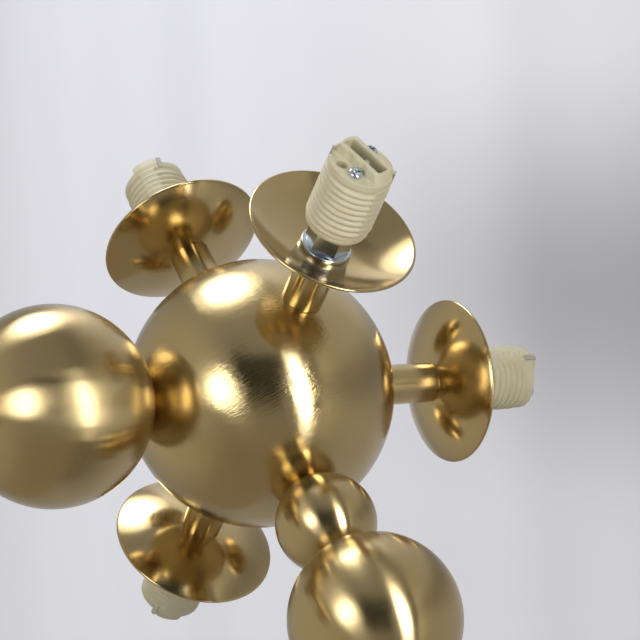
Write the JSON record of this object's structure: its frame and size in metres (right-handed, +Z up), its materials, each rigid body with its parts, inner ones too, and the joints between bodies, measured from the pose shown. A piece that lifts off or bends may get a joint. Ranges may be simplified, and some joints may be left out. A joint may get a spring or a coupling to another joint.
{
  "type": "pendant chandelier",
  "caption": "Brass ball-cluster pendant: a hub ball with short arms, each with a saucer and a ceramic lampholder, balls stacked to one side, and a stem, swivel and ceiling canopy.",
  "frame": {"origin": "on the ceiling, midway between the two fixing slots of the ceiling plate", "axes": "+Z up into the ceiling, +X from the hub towards its stack of side balls, +Y along the hub's back arm"},
  "size_m": [0.2474, 0.2264, 0.4834],
  "materials": {
    "brass_brushed": "lathe-brushed champagne brass, lacquered",
    "brass_polished": "semi-polished champagne brass, lacquered",
    "ceramic": "bare cream steatite, fine matt",
    "contact_metal": "nickel-plated spring brass",
    "lead_insulation": "white silicone",
    "nylon": "natural white nylon",
    "plate_steel": "zinc-plated pressed steel",
    "zinc_steel": "bright blue-white zinc plate"
  },
  "bodies": {
    "ceiling": {"ceiling_plate": "plate_steel", "ceiling_nipple": "zinc_steel", "ceiling_locknuts": "zinc_steel", "canopy": "brass_brushed", "canopy_ring_nut": "brass_brushed", "terminal_block": "nylon", "terminal_screws": "zinc_steel", "canopy_leads": "lead_insulation", "earth_screw": "zinc_steel"},
    "swivel": {"swivel_cup": "brass_brushed", "swivel_ring": "brass_brushed"},
    "pendant": {"swivel_ball": "brass_brushed", "stem_nut": "brass_brushed", "stem_tube": "brass_brushed", "stem_rod": "zinc_steel", "stem_cable": "lead_insulation", "stem_small_ball": "brass_brushed", "stem_large_ball": "brass_brushed", "hub_shell": "brass_brushed", "hub_core": "brass_brushed", "hub_splice": "nylon", "side_rod": "zinc_steel", "side_small_ball": "brass_brushed", "end_ball": "brass_brushed", "end_bush": "brass_brushed", "arm_tube_back": "brass_brushed", "arm_rod_back": "zinc_steel", "dish_back": "brass_polished", "socket_bridge_back": "zinc_steel", "socket_ceramic_back": "ceramic", "socket_contacts_back": "contact_metal", "socket_leads_back": "lead_insulation", "arm_tube_front": "brass_brushed", "arm_rod_front": "zinc_steel", "dish_front": "brass_polished", "socket_bridge_front": "zinc_steel", "socket_ceramic_front": "ceramic", "socket_contacts_front": "contact_metal", "socket_leads_front": "lead_insulation", "arm_tube_left": "brass_brushed", "arm_rod_left": "zinc_steel", "dish_left": "brass_polished", "socket_bridge_left": "zinc_steel", "socket_ceramic_left": "ceramic", "socket_contacts_left": "contact_metal", "socket_leads_left": "lead_insulation", "arm_tube_down": "brass_brushed", "arm_rod_down": "zinc_steel", "dish_down": "brass_polished", "socket_bridge_down": "zinc_steel", "socket_ceramic_down": "ceramic", "socket_contacts_down": "contact_metal", "socket_leads_down": "lead_insulation", "dish_washers": "zinc_steel", "dish_nuts": "zinc_steel", "socket_screws": "zinc_steel", "socket_springs": "zinc_steel"}
  },
  "joints": [
    {"name": "swivel_turn", "type": "hinge", "parent": "ceiling", "child": "swivel", "pos_m": [0, 0, -0.051], "axis": [0, 0, 1], "range_deg": [-170, 170]},
    {"name": "pendant_tilt", "type": "hinge", "parent": "swivel", "child": "pendant", "pos_m": [0, 0, -0.051], "axis": [1, 0, 0], "range_deg": [-20, 20]}
  ]
}
